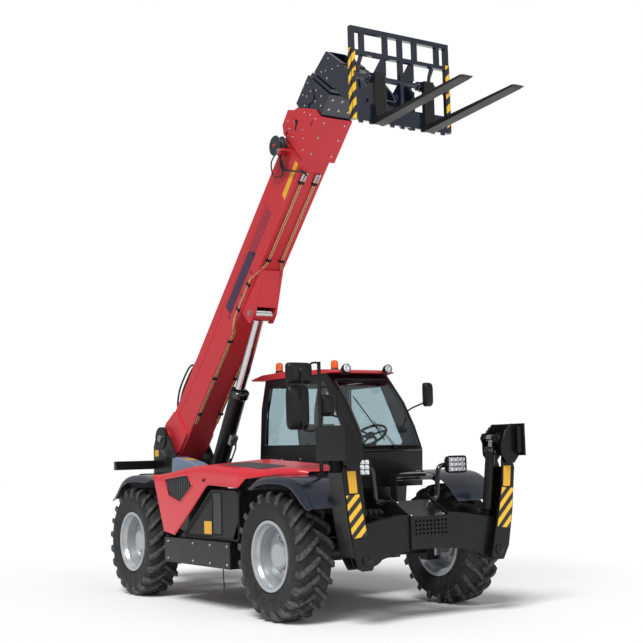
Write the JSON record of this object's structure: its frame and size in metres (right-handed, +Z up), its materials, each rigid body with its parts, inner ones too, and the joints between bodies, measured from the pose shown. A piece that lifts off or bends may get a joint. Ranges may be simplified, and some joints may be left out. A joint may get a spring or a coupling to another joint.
{
  "type": "telehandler",
  "caption": "Wheeled telescopic handler with a raised telescoping boom, fork carriage, side cab, engine hood and front stabilisers.",
  "frame": {"origin": "middle of the bounding box, on the ground", "axes": "+X to the machine's left, -Y forwards past the forks, +Z up"},
  "size_m": [2.4, 6.55, 5.776],
  "materials": {
    "frame_black": "satin black paint",
    "cast": "dark painted casting",
    "boom_red": "gloss red paint",
    "boom_blue": "satin blue-black paint",
    "steel": "machined steel",
    "chrome": "hard chrome",
    "tyre": "matt rubber",
    "rim_grey": "silver-grey paint",
    "fender_blue": "gloss blue-black plastic",
    "plastic_black": "matt black plastic",
    "seat_fabric": "dark seat cover",
    "glass": "clear glass",
    "strap_rubber": "matt rubber"
  },
  "bodies": {
    "chassis": {"boom_pivot_pin": "steel", "cab_glass": "glass", "cab_roof": "boom_red", "cab_shell": "frame_black", "chassis_frame": "frame_black", "counterweight": "cast", "driver_seat": "seat_fabric", "engine_block": "cast", "front_axle": "frame_black", "front_fenders": "fender_blue", "ground_strap": "strap_rubber", "headlamps": "plastic_black", "mirror_left": "plastic_black", "mirror_right": "plastic_black", "nose_tray": "frame_black", "rear_axle": "frame_black", "rear_fenders": "fender_blue", "roof_lamps": "plastic_black", "side_box": "frame_black", "side_panel": "frame_black", "stabiliser_beam": "frame_black", "steering_console": "plastic_black", "step_tank": "frame_black", "tail_bar": "boom_red"},
    "hood": {"hood": "boom_red"},
    "door": {"cab_door": "frame_black", "door_glass": "glass"},
    "outer_boom": {"boom_outer": "boom_red", "hose_reel": "plastic_black"},
    "second_boom": {"boom_second": "boom_blue"},
    "third_boom": {"boom_third": "boom_blue"},
    "fourth_boom": {"boom_fourth": "boom_blue"},
    "lift_rod": {"lift_rod": "chrome"},
    "lift_barrel": {"lift_barrel": "frame_black"},
    "carriage": {"fork_carriage": "frame_black"},
    "left_fork": {"fork_left": "frame_black"},
    "right_fork": {"fork_right": "frame_black"},
    "front_left_knuckle": {"knuckle_front_left": "steel"},
    "front_left_wheel": {"tyre_front_left": "tyre", "rim_front_left": "rim_grey"},
    "front_right_knuckle": {"knuckle_front_right": "steel"},
    "front_right_wheel": {"tyre_front_right": "tyre", "rim_front_right": "rim_grey"},
    "rear_left_knuckle": {"knuckle_rear_left": "steel"},
    "rear_left_wheel": {"tyre_rear_left": "tyre", "rim_rear_left": "rim_grey"},
    "rear_right_knuckle": {"knuckle_rear_right": "steel"},
    "rear_right_wheel": {"tyre_rear_right": "tyre", "rim_rear_right": "rim_grey"},
    "left_stabiliser_arm": {"stabiliser_arm_left": "frame_black"},
    "left_stabiliser_foot": {"stabiliser_foot_left": "frame_black"},
    "left_stabiliser_barrel": {"stabiliser_barrel_left": "frame_black"},
    "left_stabiliser_rod": {"stabiliser_rod_left": "chrome"},
    "right_stabiliser_arm": {"stabiliser_arm_right": "frame_black"},
    "right_stabiliser_foot": {"stabiliser_foot_right": "frame_black"},
    "right_stabiliser_barrel": {"stabiliser_barrel_right": "frame_black"},
    "right_stabiliser_rod": {"stabiliser_rod_right": "chrome"}
  },
  "joints": [
    {"name": "steer_front_left", "type": "hinge", "parent": "chassis", "child": "front_left_knuckle", "pos_m": [0.79, -1.175, 0.61], "axis": [0, 0, 1], "range_deg": [-35, 35]},
    {"name": "spin_front_left", "type": "hinge", "parent": "front_left_knuckle", "child": "front_left_wheel", "pos_m": [1, -1.175, 0.61], "axis": [1, 0, 0], "continuous": true},
    {"name": "steer_front_right", "type": "hinge", "parent": "chassis", "child": "front_right_knuckle", "pos_m": [-0.79, -1.175, 0.61], "axis": [0, 0, 1], "range_deg": [-35, 35]},
    {"name": "spin_front_right", "type": "hinge", "parent": "front_right_knuckle", "child": "front_right_wheel", "pos_m": [-1, -1.175, 0.61], "axis": [1, 0, 0], "continuous": true},
    {"name": "steer_rear_left", "type": "hinge", "parent": "chassis", "child": "rear_left_knuckle", "pos_m": [0.79, 1.895, 0.61], "axis": [0, 0, -1], "range_deg": [-35, 35]},
    {"name": "spin_rear_left", "type": "hinge", "parent": "rear_left_knuckle", "child": "rear_left_wheel", "pos_m": [1, 1.895, 0.61], "axis": [1, 0, 0], "continuous": true},
    {"name": "steer_rear_right", "type": "hinge", "parent": "chassis", "child": "rear_right_knuckle", "pos_m": [-0.79, 1.895, 0.61], "axis": [0, 0, -1], "range_deg": [-35, 35]},
    {"name": "spin_rear_right", "type": "hinge", "parent": "rear_right_knuckle", "child": "rear_right_wheel", "pos_m": [-1, 1.895, 0.61], "axis": [1, 0, 0], "continuous": true},
    {"name": "boom_lift", "type": "hinge", "parent": "chassis", "child": "outer_boom", "pos_m": [0, 2.975, 1.8], "axis": [-1, 0, 0], "range_deg": [-49, 24]},
    {"name": "telescope_second", "type": "slide", "parent": "outer_boom", "child": "second_boom", "axis": [0, -0.6947, 0.7193], "range_m": [0, 2.45]},
    {"name": "telescope_third", "type": "slide", "parent": "second_boom", "child": "third_boom", "axis": [0, -0.6947, 0.7193], "range_m": [0, 2.45]},
    {"name": "telescope_fourth", "type": "slide", "parent": "third_boom", "child": "fourth_boom", "axis": [0, -0.6947, 0.7193], "range_m": [0, 2.45]},
    {"name": "carriage_tilt", "type": "hinge", "parent": "fourth_boom", "child": "carriage", "pos_m": [0, -1.57506, 5.05057], "axis": [1, 0, 0], "range_deg": [-50, 80]},
    {"name": "fork_slide_left", "type": "slide", "parent": "carriage", "child": "left_fork", "axis": [1, 0, 0], "range_m": [-0.2, 0.18]},
    {"name": "fork_slide_right", "type": "slide", "parent": "carriage", "child": "right_fork", "axis": [-1, 0, 0], "range_m": [-0.2, 0.18]},
    {"name": "lift_rod_swing", "type": "hinge", "parent": "outer_boom", "child": "lift_rod", "pos_m": [0, 0.87606, 3.18176], "axis": [-1, 0, 0], "range_deg": [-1.06, 2.06]},
    {"name": "lift_extend", "type": "slide", "parent": "lift_rod", "child": "lift_barrel", "axis": [0, 0.5201, -0.8541], "range_m": [-0.903, 0.4448]},
    {"name": "stabiliser_left", "type": "hinge", "parent": "chassis", "child": "left_stabiliser_arm", "pos_m": [0.776, -2.09, 0.602], "axis": [0, 1, 0], "range_deg": [0, 108]},
    {"name": "stabiliser_foot_left", "type": "hinge", "parent": "left_stabiliser_arm", "child": "left_stabiliser_foot", "pos_m": [0.936, -2.09, 1.637], "axis": [0, -1, 0], "range_deg": [-8, 18]},
    {"name": "stabiliser_barrel_left", "type": "hinge", "parent": "chassis", "child": "left_stabiliser_barrel", "pos_m": [0.725, -2.09, 0.853], "axis": [0, 1, 0], "range_deg": [-0.5, 113.9]},
    {"name": "stabiliser_rod_left", "type": "slide", "parent": "left_stabiliser_barrel", "child": "left_stabiliser_rod", "axis": [0.1287, 0, 0.9917], "range_m": [-0.002, 0.4036]},
    {"name": "stabiliser_right", "type": "hinge", "parent": "chassis", "child": "right_stabiliser_arm", "pos_m": [-0.776, -2.09, 0.602], "axis": [0, -1, 0], "range_deg": [0, 108]},
    {"name": "stabiliser_foot_right", "type": "hinge", "parent": "right_stabiliser_arm", "child": "right_stabiliser_foot", "pos_m": [-0.936, -2.09, 1.637], "axis": [0, 1, 0], "range_deg": [-8, 18]},
    {"name": "stabiliser_barrel_right", "type": "hinge", "parent": "chassis", "child": "right_stabiliser_barrel", "pos_m": [-0.725, -2.09, 0.853], "axis": [0, -1, 0], "range_deg": [-0.5, 113.9]},
    {"name": "stabiliser_rod_right", "type": "slide", "parent": "right_stabiliser_barrel", "child": "right_stabiliser_rod", "axis": [-0.1287, 0, 0.9917], "range_m": [-0.002, 0.4036]},
    {"name": "cab_door", "type": "hinge", "parent": "chassis", "child": "door", "pos_m": [1.095, 0.725, 1.6], "axis": [0, 0, 1], "range_deg": [0, 85]},
    {"name": "hood_lid", "type": "hinge", "parent": "chassis", "child": "hood", "pos_m": [-0.345, 0.175, 1.33], "axis": [0, 1, 0], "range_deg": [0, 60]}
  ],
  "couplings": [
    {"joint": "steer_front_right", "follows": "steer_front_left", "ratio": 1},
    {"joint": "steer_rear_left", "follows": "steer_front_left", "ratio": 1},
    {"joint": "steer_rear_right", "follows": "steer_front_left", "ratio": 1},
    {"joint": "telescope_third", "follows": "telescope_second", "ratio": 1},
    {"joint": "telescope_fourth", "follows": "telescope_second", "ratio": 1},
    {"joint": "lift_rod_swing", "follows": "boom_lift", "ratio": -0.04},
    {"joint": "lift_extend", "follows": "boom_lift", "m_per_rad": 1.05},
    {"joint": "stabiliser_barrel_left", "follows": "stabiliser_left", "ratio": 1.05},
    {"joint": "stabiliser_rod_left", "follows": "stabiliser_left", "m_per_rad": 0.2125},
    {"joint": "stabiliser_barrel_right", "follows": "stabiliser_right", "ratio": 1.05},
    {"joint": "stabiliser_rod_right", "follows": "stabiliser_right", "m_per_rad": 0.2125}
  ]
}
